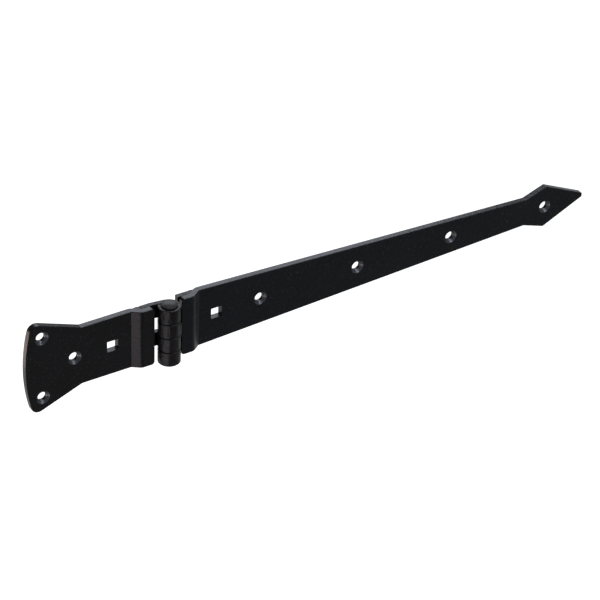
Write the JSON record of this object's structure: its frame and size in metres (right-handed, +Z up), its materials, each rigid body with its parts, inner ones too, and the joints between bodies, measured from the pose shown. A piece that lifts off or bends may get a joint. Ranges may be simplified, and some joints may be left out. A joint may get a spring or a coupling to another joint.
{
  "type": "strap hinge",
  "caption": "Black strap hinge: a long tapered plate with a spear point and a short flared plate, joined by rolled knuckles on a pin.",
  "frame": {"origin": "on the pin's axis, halfway up the barrel", "axes": "+Z up along the pin, +X along the long strap away from the pin, +Y from the front of the hinge into the door it lies on"},
  "size_m": [0.4037, 0.016, 0.0612],
  "materials": {
    "fan_plate": "satin black powder coat on steel, fine texture",
    "strap_plate": "satin black powder coat on steel, fine texture",
    "fan_knuckle_leaf": "satin black powder coat on steel, fine texture",
    "strap_knuckle_leaf": "satin black powder coat on steel, fine texture",
    "fan_plate_weld": "satin black powder coat over a weld bead",
    "strap_plate_weld": "satin black powder coat over a weld bead",
    "hinge_pin": "satin black powder coat on a steel pin head"
  },
  "bodies": {
    "fan": {"fan_plate": "fan_plate", "fan_knuckle_leaf": "fan_knuckle_leaf", "fan_plate_weld": "fan_plate_weld", "hinge_pin": "hinge_pin"},
    "strap": {"strap_plate": "strap_plate", "strap_knuckle_leaf": "strap_knuckle_leaf", "strap_plate_weld": "strap_plate_weld"}
  },
  "joints": [
    {"name": "strap_swing", "type": "hinge", "parent": "fan", "child": "strap", "pos_m": [0, 0, 0], "axis": [0, 0, -1], "range_deg": [0, 180]}
  ]
}
